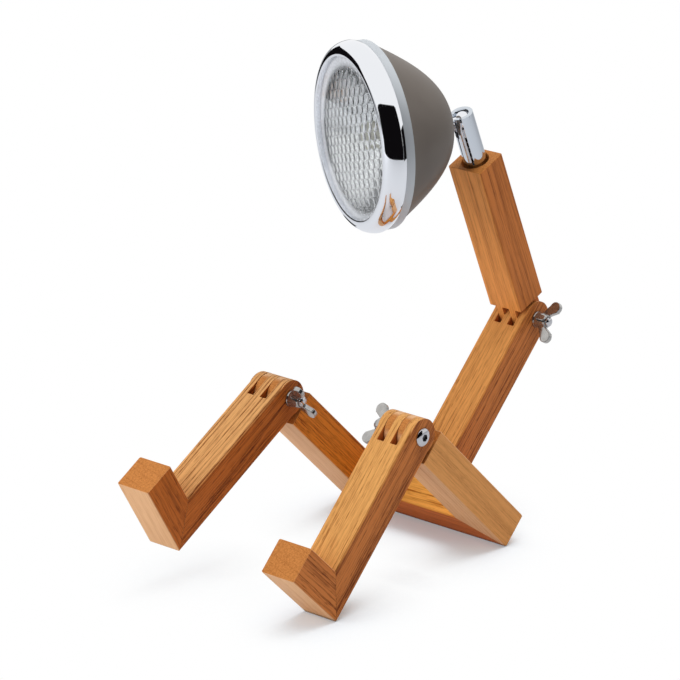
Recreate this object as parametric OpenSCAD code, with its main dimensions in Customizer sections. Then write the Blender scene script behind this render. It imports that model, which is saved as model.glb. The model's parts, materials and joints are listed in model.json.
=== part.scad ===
// Desk lamp in the shape of a seated figure: wooden bars with finger-jointed knees and
// shoulder, clamped by wing nuts, and a headlamp for a head on a slotted ball knuckle.
// Millimetres. +X is the figure's side, it faces -Y, +Z is up. The low back edge of the
// hip bar and the right heel stand on z = 0.

/* [Bars] */
// Width of every bar, across the figure
bar_w = 25; // [23:0.5:27]
// Thickness of every bar, front to back
bar_t = 22; // [21:0.5:24]
// Joint centre to far end, the same for thigh, shin, torso and neck
bar_len = 117; // [110:1:125]
// Width over the hips
hip_w = 127.5; // [122:0.5:134]
// Length of a foot, heel to toe
foot_len = 49.5; // [44:0.5:56]
// Bevel along the long edges
edge_c = 0.7; // [0.3:0.1:1.2]

/* [Finger joints] */
// Pivot to the square shoulder behind the two tongues
neck_gap = 13; // [12.6:0.1:14]
// Pivot to the bottom of the slots
slot_d = 12.7; // [12.5:0.1:14]
// Gap on each side of a tongue
side_gap = 0.15; // [0.1:0.05:0.3]

/* [Pose] */
// Thigh above the floor, which is the knee's right angle too
thigh_deg = 45; // [40:1:50]
// Left shin below the horizontal
left_shin_deg = 29.7; // [24:0.1:36]
// Neck forward of upright
neck_deg = 21.8; // [16:0.1:28]
// Head turned to the figure's right
head_turn = 26; // [10:1:40]
// Head above square to its tube
head_tilt = 18; // [8:1:26]

/* [Bolts and wing nuts] */
// Bolt diameter
bolt_d = 6; // [5:0.5:6.5]
// Running clearance around a bolt, radial
run_c = 0.05; // [0.03:0.01:0.08]
// Bolt head diameter
bolt_head_d = 11; // [10:0.5:12]
// Bolt head height
bolt_head_h = 2.2; // [1.8:0.1:2.8]
// Span over the wings
wing_span = 26; // [23:1:28]
// Wing nut height
wing_h = 14.5; // [13:0.5:16]
// Height of the nut's round hub
hub_h = 8.5; // [7:0.5:9.5]

/* [Knuckle] */
// Tube diameter
tube_d = 14; // [13:0.5:15]
// Tube wall
tube_wall = 1.5; // [1.2:0.1:1.8]
// Tube above the neck bar
tube_up = 34; // [32:0.5:38]
// Ball centre above the neck bar
ball_up = 29; // [27.5:0.5:30]
// Recess in the neck bar's end
recess_d = 17; // [16:0.5:18]
// Depth of the recess
recess_h = 8; // [6:0.5:10]

/* [Head] */
// Ball centre to the back of the bowl
stud_reach = 10.8; // [10.4:0.1:12]
// Outer diameter of the rim
rim_d = 114.4; // [108:0.4:120]
// Clear diameter of the lens
lens_view_d = 97.4; // [92:0.2:102]
// Depth of the bowl behind the rim
bowl_depth = 45.5; // [42:0.5:50]
// Depth of the rim
rim_depth = 17.7; // [17:0.1:19]
// Sheet of the bowl and the rim
sheet = 1; // [0.8:0.1:1.2]
// Focal length of the reflector
focal = 20; // [18:0.5:22]
// Hole of the cord grommet
cord_hole = 6.5; // [5:0.5:7.5]

/* [Hidden] */
$fn = 96;

// colours
wood_face = [0.80, 0.57, 0.33];
wood_side = [0.68, 0.43, 0.24];
wood_end = [0.74, 0.47, 0.25];
chrome_c = [0.86, 0.87, 0.89];
steel_c = [0.70, 0.71, 0.73];
taupe_c = [0.42, 0.38, 0.35];
rubber_c = [0.08, 0.08, 0.08];
brass_c = [0.75, 0.60, 0.30];
ceramic_c = [0.93, 0.92, 0.88];

// skeleton
finger_w = bar_w / 5;
hip_x = hip_w / 2;                       // outer face of the legs
leg_x = hip_x - bar_w / 2;               // centre line of the legs
round_r = bar_t / 2;                     // round ends of fingers and tongues
right_shin_deg = 90 - thigh_deg;
shin_len = (bar_len * sin(thigh_deg) + round_r * cos(thigh_deg)
    - round_r * cos(right_shin_deg)) / sin(right_shin_deg);
torso_len = bar_len + 1.5;               // hip bar's top face to the shoulder
neck_len = bar_len - 0.4;                // shoulder to the neck's end
knee_y = -bar_len * cos(thigh_deg) + round_r * sin(thigh_deg);
knee_z = bar_len * sin(thigh_deg) + round_r * cos(thigh_deg);
shoulder_h = bar_t + torso_len;
shoulder_y = -bar_w / 2 * cos(thigh_deg) + shoulder_h * sin(thigh_deg);
shoulder_z = bar_w / 2 * sin(thigh_deg) + shoulder_h * cos(thigh_deg);
ball_k = neck_len + ball_up;             // shoulder to ball, along the neck

// head, along its axis from the ball: lens lip in front, bowl behind
rim_r = rim_d / 2;
view_r = lens_view_d / 2;
band_r = rim_r - 1.1;                    // the rim's rear band
band_b = stud_reach + bowl_depth;        // where that band ends
band_a = band_b + 0.28 * rim_depth;      // where it starts
head_reach = band_b + rim_depth;         // the lip
bowl_r = band_r - 0.7;
apex_a = stud_reach;
lens_a = head_reach - 3.2;               // lens edge, front
lens_t = 2.9;
gasket_t = 1.5;
flange_a = lens_a - lens_t - gasket_t;   // reflector flange, front
flange_r = view_r + 4.2;
ref_r = view_r - 1.7;
vertex_a = flange_a - sheet - ref_r * ref_r / (4 * focal);
bulb_d = 13;
holder_r = 10.8;
holder_h = 10.8;                         // lamp holder behind the reflector's vertex
stud_end = 9;                            // thread inside the bowl
dowel_r = 0.14 * bar_t;
peg_r = 0.18 * bar_t;                    // torso dowels
peg_len = 1.45 * bar_t;
peg_x = 0.24 * bar_w;
clip_w = 8;
stud_r = 2.5;
thread_r = 3;                            // stud's thread

// bowl outline: 0 at the rim, 1 at the apex
function bowl_f(s) = pow(max(0, 1 - pow(s, 0.87)), 1 / 2.46);
function bowl_at(s, wall) = [(bowl_r - wall) * bowl_f(s), band_b - s * (bowl_depth - wall)];
flat_r = 6.2;                            // flat seat for the stud's collar
// s runs with the square root so that the blunt end stays even
bowl_n = 22;
function bowl_s(i) = 1 - pow(1 - i / bowl_n, 2.0);
function bowl_side(wall) = [for (i = [0 : bowl_n - 1]) let (p = bowl_at(bowl_s(i), wall))
    if (p[0] > flat_r + 0.6) p];

// rim outline, outside, from the lip back
rim_n = 14;
rim_bulge = 9.3;                         // lip to the widest place
function rim_arc(r) = [for (i = [0 : rim_n]) let (q = 90 * i / rim_n)
    [view_r + 0.9 + (r - view_r - 0.9) * pow(sin(q), 0.85),
     head_reach - rim_bulge * (1 - pow(cos(q), 1.1))]];
rim_out = concat([[view_r, head_reach - 0.3]], rim_arc(rim_r),
    [[rim_r - 0.5, band_a + 1.6], [band_r - 0.25, band_a], [band_r, band_a - 0.6],
     [band_r, band_b]]);

// where the model's box lies, to centre it
n_x = cos(head_tilt) * sin(head_turn);
rim_reach = max([for (p = rim_out) p[1] * n_x + p[0] * sqrt(1 - n_x * n_x)]);
x_high = hip_x + bolt_head_h;
x_low = -max(rim_reach, hip_x + bolt_head_h);
toe_n = foot_len - round_r;
y_low = knee_y - shin_len * cos(left_shin_deg) - toe_n * sin(left_shin_deg);
y_high = shoulder_y + round_r;
move_x = -(x_low + x_high) / 2;
move_y = -(y_low + y_high) / 2;

// ---------- frames ----------
module world() { translate([move_x, move_y, 0]) children(); }
module hip_frame() { world() rotate([-thigh_deg, 0, 0]) children(); }
module torso_frame() { hip_frame() translate([0, -bar_w / 2, bar_t]) children(); }
module knee_frame(side, shin_deg) {
    world() translate([side * leg_x, knee_y, knee_z]) rotate([shin_deg - 90, 0, 0]) children();
}
module neck_frame() {
    world() translate([0, shoulder_y, shoulder_z]) rotate([neck_deg, 0, 0]) children();
}
module tube_frame() {
    neck_frame() translate([0, 0, ball_k]) rotate([0, 0, -head_turn]) children();
}
// the head's axis becomes +Z here, with the ball at the origin
module head_frame() { tube_frame() rotate([-head_tilt, 0, 0]) rotate([90, 0, 0]) children(); }

// ---------- wood ----------
module stock(w, t) {
    c = edge_c;
    polygon([[-w / 2 + c, -t / 2], [w / 2 - c, -t / 2], [w / 2, -t / 2 + c],
        [w / 2, t / 2 - c], [w / 2 - c, t / 2], [-w / 2 + c, t / 2],
        [-w / 2, t / 2 - c], [-w / 2, -t / 2 + c]]);
}
module x_rod(r, l, n = 96) { rotate([0, 90, 0]) cylinder(r = r, h = l, center = true, $fn = n); }

// Two tongues at a bar's end. The bar stands up from z = neck_gap, the pivot is at z = 0.
module tongues() {
    for (s = [-1, 1]) translate([s * finger_w, 0, 0]) {
        tw = finger_w - 2 * side_gap;
        x_rod(round_r, tw);
        translate([-tw / 2, -round_r, 0]) cube([tw, bar_t, neck_gap + 0.5]);
    }
}
// A bar with tongues, from its pivot up to z = top
module tongue_bar(top) {
    difference() {
        union() {
            tongues();
            translate([0, 0, neck_gap]) linear_extrude(top - neck_gap) stock(bar_w, bar_t);
        }
        x_rod(bolt_d / 2 + run_c, bar_w + 2);
    }
}
// A bar with three fingers round the pivot at z = 0, reaching down to z = -bottom
module finger_bar(bottom) {
    difference() {
        union() {
            translate([0, 0, -bottom]) linear_extrude(bottom) stock(bar_w, bar_t);
            x_rod(round_r, bar_w);
        }
        for (s = [-1, 1]) translate([s * finger_w - finger_w / 2, -bar_t, -slot_d])
            cube([finger_w, 2 * bar_t, bar_t * 2]);
        x_rod(bolt_d / 2 + run_c, bar_w + 2);
    }
}
module plan(points) { translate([0, 0, -1]) linear_extrude(bar_t + 2) polygon(points); }

module mitre_dowel_at(side) {
    translate([side * leg_x, -bar_w / 2, bar_t / 2]) rotate([90, 0, side * 45])
        cylinder(r = dowel_r, h = 0.96 * bar_w, center = true);
}
module torso_dowel_at(side) {
    translate([side * peg_x, -bar_w / 2, bar_t - 0.47 * peg_len])
        cylinder(r = peg_r, h = peg_len);
}
module ankle_dowel_at() {
    translate([0, 0, -shin_len + bar_t / 2]) rotate([-45, 0, 0])
        cylinder(r = dowel_r, h = bar_t, center = true);
}

module hip_crossbar() {
    color(wood_face) hip_frame() difference() {
        intersection() {
            translate([-hip_x, -bar_w / 2, bar_t / 2]) rotate([90, 0, 90])
                linear_extrude(hip_w) stock(bar_w, bar_t);
            plan([[-hip_x, 0], [hip_x, 0], [hip_x - bar_w, -bar_w], [-hip_x + bar_w, -bar_w]]);
        }
        for (s = [-1, 1]) { mitre_dowel_at(s); torso_dowel_at(s); }
    }
}
module thigh(side) {
    color(wood_side) hip_frame() difference() {
        intersection() {
            translate([side * leg_x, -bar_len, bar_t / 2]) rotate([-90, 0, 0]) tongue_bar(bar_len);
            plan([[side * hip_x, 0], [side * (hip_x - bar_w), -bar_w],
                [side * (hip_x - bar_w), -bar_len - bar_t], [side * hip_x, -bar_len - bar_t]]);
        }
        mitre_dowel_at(side);
    }
}
module left_thigh() { thigh(-1); }
module right_thigh() { thigh(1); }

module shin(side, deg) {
    color(wood_face) knee_frame(side, deg) difference() {
        finger_bar(shin_len);
        translate([0, 0, -shin_len]) rotate([90, 0, 90]) linear_extrude(bar_w + 2, center = true)
            polygon([[round_r + 1, -1], [round_r, 0], [-round_r, bar_t], [-round_r - 1, bar_t + 1],
                [-round_r - 3, -3], [round_r + 1, -3]]);
        ankle_dowel_at();
    }
}
module foot(side, deg) {
    color(wood_end) knee_frame(side, deg) difference() {
        intersection() {
            translate([0, round_r, -shin_len + bar_t / 2]) rotate([90, 0, 0])
                linear_extrude(foot_len) stock(bar_w, bar_t);
            translate([0, 0, -shin_len]) rotate([90, 0, 90]) linear_extrude(bar_w + 2, center = true)
                polygon([[round_r, 0], [-round_r, bar_t], [-round_r - 1, bar_t + 1],
                    [-foot_len, bar_t + 1], [-foot_len, -1], [round_r + 1, -1]]);
        }
        ankle_dowel_at();
    }
}
module left_shin() { shin(-1, left_shin_deg); }
module right_shin() { shin(1, right_shin_deg); }
module left_foot() { foot(-1, left_shin_deg); }
module right_foot() { foot(1, right_shin_deg); }

module torso_bar() {
    color(wood_face) difference() {
        torso_frame() translate([0, 0, torso_len]) finger_bar(torso_len);
        hip_frame() for (s = [-1, 1]) torso_dowel_at(s);
    }
}
insert_r = 4;
insert_h = 13;
module neck_bar() {
    color(wood_face) neck_frame() difference() {
        tongue_bar(neck_len);
        translate([0, 0, neck_len - recess_h]) cylinder(d = recess_d, h = recess_h + 1);
        translate([0, 0, neck_len - recess_h - insert_h]) cylinder(r = insert_r, h = insert_h + 1);
    }
}
module left_mitre_dowel() { color(wood_end) hip_frame() mitre_dowel_at(-1); }
module right_mitre_dowel() { color(wood_end) hip_frame() mitre_dowel_at(1); }
module torso_dowel_left() { color(wood_end) hip_frame() torso_dowel_at(-1); }
module torso_dowel_right() { color(wood_end) hip_frame() torso_dowel_at(1); }
module left_ankle_dowel() { color(wood_end) knee_frame(-1, left_shin_deg) ankle_dowel_at(); }
module right_ankle_dowel() { color(wood_end) knee_frame(1, right_shin_deg) ankle_dowel_at(); }

// ---------- bolts and wing nuts, +Z from the bar's face outward ----------
tip_h = hub_h + 2;                       // bolt's tip, past the bar's face
socket_d = 4.6;                          // hexagon socket, over its corners
hub_low_r = 5.2;                         // the nut's hub is a cone
hub_high_r = bolt_d / 2 + 1.1;
wing_t = 3;
lobe_r = 3.6;                            // round end of a wing
left_nut_turn = 95;
right_nut_turn = -3.5;
shoulder_nut_turn = 13;
module bolt() {
    // the head stands on z = 0, the shaft runs down through the bar and the nut
    difference() {
        union() {
            rotate_extrude() polygon(concat([[0, 0], [bolt_head_d / 2, 0], [bolt_head_d / 2, 0.5]],
                [for (i = [1 : 8]) let (q = i * 90 / 8)
                    [bolt_head_d / 2 * cos(q), 0.5 + (bolt_head_h - 0.5) * sin(q)]]));
            rotate([180, 0, 0]) rotate_extrude() polygon([[0, -0.1], [bolt_d / 2, -0.1],
                [bolt_d / 2, bar_w + tip_h - 1.2], [bolt_d / 2 - 0.4, bar_w + tip_h - 0.6],
                [bolt_d / 2 - 1.4, bar_w + tip_h - 0.1], [0, bar_w + tip_h]]);
        }
        translate([0, 0, bolt_head_h - 1.5]) cylinder(d = socket_d, h = 3, $fn = 6);
    }
}
module wing_nut() {
    difference() {
        union() {
            rotate_extrude() polygon([[0, 0], [hub_low_r, 0], [hub_low_r, 0.8],
                [hub_low_r - 0.3, 1.3], [hub_high_r, hub_h - 0.8], [hub_high_r - 0.4, hub_h],
                [0, hub_h]]);
            for (s = [0, 1]) mirror([s, 0, 0]) rotate([90, 0, 0])
                linear_extrude(wing_t, center = true) difference() {
                    union() {
                        polygon([[3.2, hub_h - 5.5], [6.5, hub_h - 3.6], [wing_span / 2 - 0.3,
                            wing_h - 5.4], [wing_span / 2 - 6.2, wing_h - 0.6], [3.2, hub_h - 0.6]]);
                        translate([wing_span / 2 - lobe_r, wing_h - lobe_r]) circle(r = lobe_r);
                    }
                    translate([-1, hub_h - 1]) square([bolt_d / 2 + 1.5, wing_h]);
                }
        }
        translate([0, 0, -1]) cylinder(r = bolt_d / 2 + run_c, h = wing_h + 2);
    }
}
module knee_bolt(side, deg) {
    color(steel_c) knee_frame(side, deg) translate([side * bar_w / 2, 0, 0])
        rotate([0, side * 90, 0]) bolt();
}
// at turn = 0 the wings lie along the shin; turn is about the bolt, out of the bar
module knee_nut(side, deg, turn) {
    color(chrome_c) knee_frame(side, deg) translate([-side * bar_w / 2, 0, 0])
        rotate([0, -side * 90, 0]) rotate([0, 0, turn]) wing_nut();
}
module left_knee_bolt() { knee_bolt(-1, left_shin_deg); }
module right_knee_bolt() { knee_bolt(1, right_shin_deg); }
module shoulder_bolt() {
    color(steel_c) torso_frame() translate([-bar_w / 2, 0, torso_len]) rotate([0, -90, 0]) bolt();
}
module left_knee_wing_nut() { knee_nut(-1, left_shin_deg, left_nut_turn); }
module right_knee_wing_nut() { knee_nut(1, right_shin_deg, right_nut_turn); }
module shoulder_wing_nut() {
    color(chrome_c) torso_frame() translate([bar_w / 2, 0, torso_len])
        rotate([0, 90, 0]) rotate([0, 0, shoulder_nut_turn]) wing_nut();
}

// ---------- knuckle on the neck ----------
washer_t = 1;
tube_low = neck_len - recess_h + washer_t;   // tube's foot, along the neck
tube_floor = 4;
tube_in = tube_d / 2 - tube_wall;
screw_r = 2.5;
ball_r = tube_in - 0.1;
seat_low = 9;                            // foot of the seat, below the ball's centre
seat_h = 5.7;
spring_low = tube_low + tube_floor;
spring_high = ball_k - seat_low;
spring_turns = 6;
spring_r = tube_in - 0.2;
spring_wire = 0.85;
screw_head_r = spring_r - spring_wire - 0.2;
module neck_insert() {
    color(brass_c) neck_frame() translate([0, 0, neck_len - recess_h - insert_h]) difference() {
        cylinder(r = insert_r, h = insert_h);
        translate([0, 0, -1]) cylinder(r = screw_r, h = insert_h + 2);
    }
}
module tube_washer() {
    color(steel_c) neck_frame() translate([0, 0, neck_len - recess_h]) difference() {
        cylinder(d = tube_d - 1, h = washer_t);
        translate([0, 0, -1]) cylinder(r = screw_r, h = washer_t + 2);
    }
}
module tube_screw() {
    color(steel_c) neck_frame() difference() {
        union() {
            translate([0, 0, tube_low - washer_t - insert_h + 1])
                cylinder(r = screw_r, h = washer_t + insert_h - 1 + tube_floor + 0.05);
            translate([0, 0, tube_low + tube_floor + 0.05]) cylinder(r = screw_head_r, h = 3.6);
        }
        translate([0, 0, tube_low + tube_floor + 1.65]) cylinder(d = socket_d, h = 4, $fn = 6);
    }
}
slot_w = 2 * stud_r + 0.7;
slit_turn = 60;
module knuckle_tube() {
    color(chrome_c) tube_frame() translate([0, 0, -ball_k]) difference() {
        translate([0, 0, tube_low]) cylinder(d = tube_d, h = neck_len + tube_up - tube_low);
        translate([0, 0, tube_low - 1]) cylinder(r = screw_r + run_c, h = tube_floor + 2);
        translate([0, 0, tube_low + tube_floor]) cylinder(r = tube_in, h = neck_len + ball_up + 3
            - tube_low - tube_floor);
        translate([0, 0, ball_k]) cylinder(r = tube_in - 0.95, h = tube_up);
        // the stud's slot, open at the top
        translate([-slot_w / 2, -tube_d, ball_k - seat_low]) cube([slot_w, tube_d, seat_low + tube_up]);
        // a narrow slit that lets the tube grip the ball
        rotate([0, 0, slit_turn]) translate([-0.6, -tube_d, neck_len + 1])
            cube([1.2, tube_d, tube_up + 1]);
    }
}
module seat_spring() {
    arc = 120;
    n = 5;
    in_r = spring_r - spring_wire;
    color(steel_c) tube_frame() translate([0, 0, -ball_k + spring_low])
        linear_extrude(spring_high - spring_low, twist = -360 * spring_turns, slices = 90, $fn = 12)
            polygon(concat(
                [for (i = [0 : n]) [spring_r * cos(i * arc / n), spring_r * sin(i * arc / n)]],
                [for (i = [n : -1 : 0]) [in_r * cos(i * arc / n), in_r * sin(i * arc / n)]]));
}
module ball_seat() {
    color(steel_c) tube_frame() difference() {
        translate([0, 0, -seat_low]) cylinder(r = tube_in - 0.1, h = seat_h);
        sphere(r = ball_r + 0.1);
        translate([0, 0, -10]) cylinder(r = 1.6, h = 10);
    }
}

// ---------- head: +Z runs from the ball to the lens ----------
nut_a = apex_a + sheet + 1.3;
module ball_stud() {
    color(chrome_c) head_frame() union() {
        sphere(r = ball_r);
        cylinder(r = stud_r, h = apex_a - 1);
        translate([0, 0, apex_a - 1.9]) cylinder(r = 5, h = 1.9 + 0.2);
        translate([0, 0, apex_a]) cylinder(r = thread_r, h = stud_end);
    }
}
module stud_lock_washer() {
    color(steel_c) head_frame() translate([0, 0, apex_a + 0.2 + sheet]) difference() {
        cylinder(r = 5.6, h = 1.1);
        translate([0, 0, -1]) cylinder(r = thread_r, h = 4);
    }
}
module stud_nut() {
    color(steel_c) head_frame() translate([0, 0, nut_a]) difference() {
        cylinder(d = 11.5, h = 5, $fn = 6);
        translate([0, 0, -1]) cylinder(r = thread_r, h = 7);
    }
}
// the grommet sits square to the bowl's skin, low at the back
cord_s = 0.74;
cord_p = bowl_at(cord_s, 0);
cord_q = bowl_at(cord_s + 0.01, 0);
cord_tilt = atan2(cord_p[1] - cord_q[1], cord_p[0] - cord_q[0]);
module cord_frame() {
    rotate([0, 0, -20]) translate([0, -cord_p[0], cord_p[1]]) rotate([180 - cord_tilt, 0, 0])
        children();
}
grommet_r = cord_hole / 2 + 2.2;
module head_shell() {
    color(taupe_c) head_frame() difference() {
        rotate_extrude($fn = 128) polygon(concat(
            [[bowl_r, band_a - 1.4]], bowl_side(0), [[flat_r, apex_a + 0.2],
            [thread_r, apex_a + 0.2], [thread_r, apex_a + 0.2 + sheet],
            [flat_r, apex_a + 0.2 + sheet]],
            [for (i = [len(bowl_side(sheet)) - 1 : -1 : 0]) bowl_side(sheet)[i]],
            [[bowl_r - sheet, band_a - 1.4]]));
        cord_frame() translate([0, 0, -6]) cylinder(r = grommet_r - 1.2, h = 12);
    }
}
module cord_grommet() {
    color(rubber_c) head_frame() cord_frame() difference() {
        union() {
            translate([0, 0, -2.6]) cylinder(r = grommet_r - 1.25, h = 5.4);
            translate([0, 0, 0.5]) cylinder(r = grommet_r, h = 2.3);
            translate([0, 0, -4.6]) cylinder(r = grommet_r - 0.2, h = 2.2);
        }
        translate([0, 0, -8]) cylinder(d = cord_hole, h = 16);
    }
}
rim_in = concat([[band_r - 0.65, band_b], [band_r - 0.65, band_a - 1.3],
    [band_r - 1.2, band_a - 0.4]],
    [for (i = [rim_n : -1 : 3]) rim_arc(rim_r - sheet)[i] - [0, sheet]],
    [[view_r + 1.2, head_reach - 1.3], [view_r + 1, lens_a], [view_r, lens_a]]);
module rim_ring() {
    color(chrome_c) head_frame() rotate_extrude($fn = 128) polygon(concat(rim_out, rim_in));
}
dome = 4;
lens_r = view_r + 3.3;
module lens() {
    color([0.85, 0.88, 0.88]) head_frame() rotate_extrude($fn = 128) {
        e = view_r - 0.4;
        polygon(concat([[0, lens_a - lens_t + dome - 0.4], [0, lens_a + dome]],
            [for (i = [1 : 10]) let (r = e * i / 10) [r, lens_a + dome * (1 - pow(r / e, 2))]],
            [[lens_r, lens_a], [lens_r, lens_a - lens_t]],
            [for (i = [10 : -1 : 1]) let (r = e * i / 10)
                [r, lens_a - lens_t + (dome - 0.4) * (1 - pow(r / e, 2))]]));
    }
}
module lens_gasket() {
    color(rubber_c) head_frame() translate([0, 0, flange_a]) rotate_extrude()
        translate([view_r + 0.6, 0]) square([3.4, gasket_t]);
}
function par(r) = vertex_a + r * r / (4 * focal);
hole_r = holder_r + 0.3;
module reflector() {
    n = 14;
    color([0.88, 0.88, 0.88]) head_frame() rotate_extrude() polygon(concat(
        [for (i = [0 : n]) let (r = hole_r + (ref_r - hole_r) * i / n) [r, par(r)]],
        [[ref_r, flange_a], [flange_r, flange_a], [flange_r, flange_a - sheet],
            [ref_r + 1.1, flange_a - sheet]],
        [for (i = [n : -1 : 0]) let (r = hole_r + (ref_r - hole_r) * i / n)
            [r + 0.3, par(r) - 1.05]]));
}
module lamp_holder() {
    color(ceramic_c) head_frame() difference() {
        union() {
            translate([0, 0, vertex_a - holder_h])
                cylinder(r = holder_r, h = par(hole_r) + 1.5 - vertex_a + holder_h);
            translate([0, 0, par(hole_r) - 3.2]) cylinder(r = holder_r + 3.4, h = 1.9);
        }
        translate([0, 0, par(hole_r) - 1]) cylinder(d = bulb_d - 2, h = 8);
    }
}
bulb_a = par(hole_r) - 1;
module bulb() {
    color([0.95, 0.93, 0.85]) head_frame() translate([0, 0, bulb_a]) rotate_extrude()
        polygon(concat([[0, 0], [bulb_d / 2 - 1.1, 0], [bulb_d / 2 - 1.1, 2.7],
            [bulb_d / 2, 4], [bulb_d / 2, 15]],
            [for (i = [1 : 8]) [bulb_d / 2 * cos(i * 90 / 8), 15 + 6 * sin(i * 90 / 8)]]));
}
// spring clips: from the reflector's flange back to the inside of the rim's rear band
module clip(turn) {
    color(steel_c) head_frame() rotate([0, 0, turn]) intersection() {
        difference() {
            translate([0, 0, band_b + 4]) cylinder(r = flange_r + 0.6, h = flange_a - band_b - 4.05);
            translate([0, 0, band_b + 3]) cylinder(r = flange_r - 0.2, h = flange_a - sheet - band_b - 3.7);
            translate([0, 0, flange_a - sheet - 0.7]) cylinder(r = flange_r - 3, h = 8);
            translate([0, 0, flange_a - sheet]) cylinder(r = flange_r + 0.05, h = 8);
        }
        translate([-clip_w / 2, 0, band_b]) cube([clip_w, rim_r, rim_depth]);
    }
}
module clip_top() { clip(0); }
module clip_left() { clip(120); }
module clip_right() { clip(240); }

hip_crossbar();
left_thigh();
right_thigh();
left_shin();
right_shin();
left_foot();
right_foot();
torso_bar();
neck_bar();
left_mitre_dowel();
right_mitre_dowel();
left_ankle_dowel();
right_ankle_dowel();
torso_dowel_left();
torso_dowel_right();
left_knee_bolt();
right_knee_bolt();
shoulder_bolt();
left_knee_wing_nut();
right_knee_wing_nut();
shoulder_wing_nut();
neck_insert();
tube_washer();
tube_screw();
knuckle_tube();
seat_spring();
ball_seat();
ball_stud();
stud_lock_washer();
stud_nut();
head_shell();
rim_ring();
lens();
lens_gasket();
reflector();
clip_top();
clip_left();
clip_right();
lamp_holder();
bulb();
cord_grommet();
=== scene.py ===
"""Looks of a desk lamp in the shape of a seated figure.

Lengths are metres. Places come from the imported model: its joints give the knees, the shoulder
and the ball of the knuckle, and its nodes give the bars, bolts and small parts.
"""

import json
import logging
from collections.abc import Callable, Sequence
from dataclasses import astuple, dataclass, field
from enum import Enum
from math import asin, atan, cos, pi, radians, sin, tan, tau

import bmesh
import bpy
from bmesh.types import BMesh
from mathutils import Matrix, Vector


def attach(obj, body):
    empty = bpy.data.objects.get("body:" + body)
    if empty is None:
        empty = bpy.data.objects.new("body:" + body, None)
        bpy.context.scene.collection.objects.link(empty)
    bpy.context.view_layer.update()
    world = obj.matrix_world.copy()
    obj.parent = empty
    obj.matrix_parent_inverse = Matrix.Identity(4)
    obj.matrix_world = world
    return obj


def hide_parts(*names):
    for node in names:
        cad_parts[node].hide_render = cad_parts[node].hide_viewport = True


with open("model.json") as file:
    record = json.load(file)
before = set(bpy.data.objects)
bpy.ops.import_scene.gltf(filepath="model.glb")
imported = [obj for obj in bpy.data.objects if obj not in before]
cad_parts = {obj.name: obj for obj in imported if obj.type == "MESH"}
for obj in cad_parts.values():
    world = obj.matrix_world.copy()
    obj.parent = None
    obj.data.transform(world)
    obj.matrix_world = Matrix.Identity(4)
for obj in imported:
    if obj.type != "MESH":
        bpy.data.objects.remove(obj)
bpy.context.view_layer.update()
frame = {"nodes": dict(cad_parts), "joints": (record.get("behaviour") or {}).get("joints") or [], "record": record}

log = logging.getLogger("desk_lamp")
MM = 0.001
JOIN = 0.002  # points closer than this, in millimetres, are one
EASED_FROM = 34  # degrees between faces from which an edge is eased
Colour = tuple[float, float, float, float]
Profile = list[tuple[float, float]]
Piece = bpy.types.Object


def shade(red: float, green: float, blue: float) -> Colour:
    """Turn a screen colour, 0 to 255 a channel, into the linear colour that shaders take.

    Args:
        red: Red.
        green: Green.
        blue: Blue.

    Returns:
        The linear colour, opaque.
    """
    channels = (((c / 255 + 0.055) / 1.055) ** 2.4 for c in (red, green, blue))
    return (*channels, 1.0)


def turn_about(axis: str, degrees: float) -> Matrix:
    """Return a turn about X, Y or Z as a 4x4 matrix."""
    return Matrix.Rotation(radians(degrees), 4, axis)


def frame_of(origin: Vector, across: Vector, along: Vector) -> Matrix:
    """Build a right-handed frame.

    Args:
        origin: Where the frame stands.
        across: Its X axis.
        along: Its Z axis, square to across.

    Returns:
        The frame as a 4x4 matrix.
    """
    columns = (across, along.cross(across), along)
    turned = Matrix([[c[row] for c in columns] for row in range(3)]).to_4x4()
    return Matrix.Translation(origin) @ turned


# --- node trees ---


def node_operator(operation: str, swapped: bool = False) -> "Callable[..., Signal]":
    """Make an operator's method, which adds one Math node.

    Args:
        operation: The Math node's operation.
        swapped: Whether self stands second, as in a reflected operator.

    Returns:
        The method.
    """

    def method(self: "Signal", other: "Signal | float") -> "Signal":
        """Add the node over self and other."""
        terms = (other, self) if swapped else (self, other)
        return self.tree.math(operation, *terms)

    return method


@dataclass
class Signal:
    """A node's output that stands in expressions: each operator adds one Math node."""

    tree: "Tree"
    socket: bpy.types.NodeSocket

    __add__ = __radd__ = node_operator("ADD")
    __mul__ = __rmul__ = node_operator("MULTIPLY")
    __sub__, __rsub__ = node_operator("SUBTRACT"), node_operator("SUBTRACT", True)
    __truediv__, __rtruediv__ = node_operator("DIVIDE"), node_operator("DIVIDE", True)
    __pow__ = node_operator("POWER")
    least, most = node_operator("MINIMUM"), node_operator("MAXIMUM")

    def __abs__(self) -> "Signal":
        """Return the size of self."""
        return self.tree.math("ABSOLUTE", self)

    def part(self) -> "Signal":
        """Return what is left of self past its whole number."""
        return self.tree.math("FRACT", self)

    def rise(self, low: float, high: float) -> "Signal":
        """Return 0 below low and 1 above high, with a smooth step between."""
        settings = {"interpolation_type": "SMOOTHSTEP"}
        return self.tree.add("ShaderNodeMapRange", settings, {0: self, 1: low, 2: high})


Number = Signal | float
Input = Number | Sequence[float] | bpy.types.ID | bool | int


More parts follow.
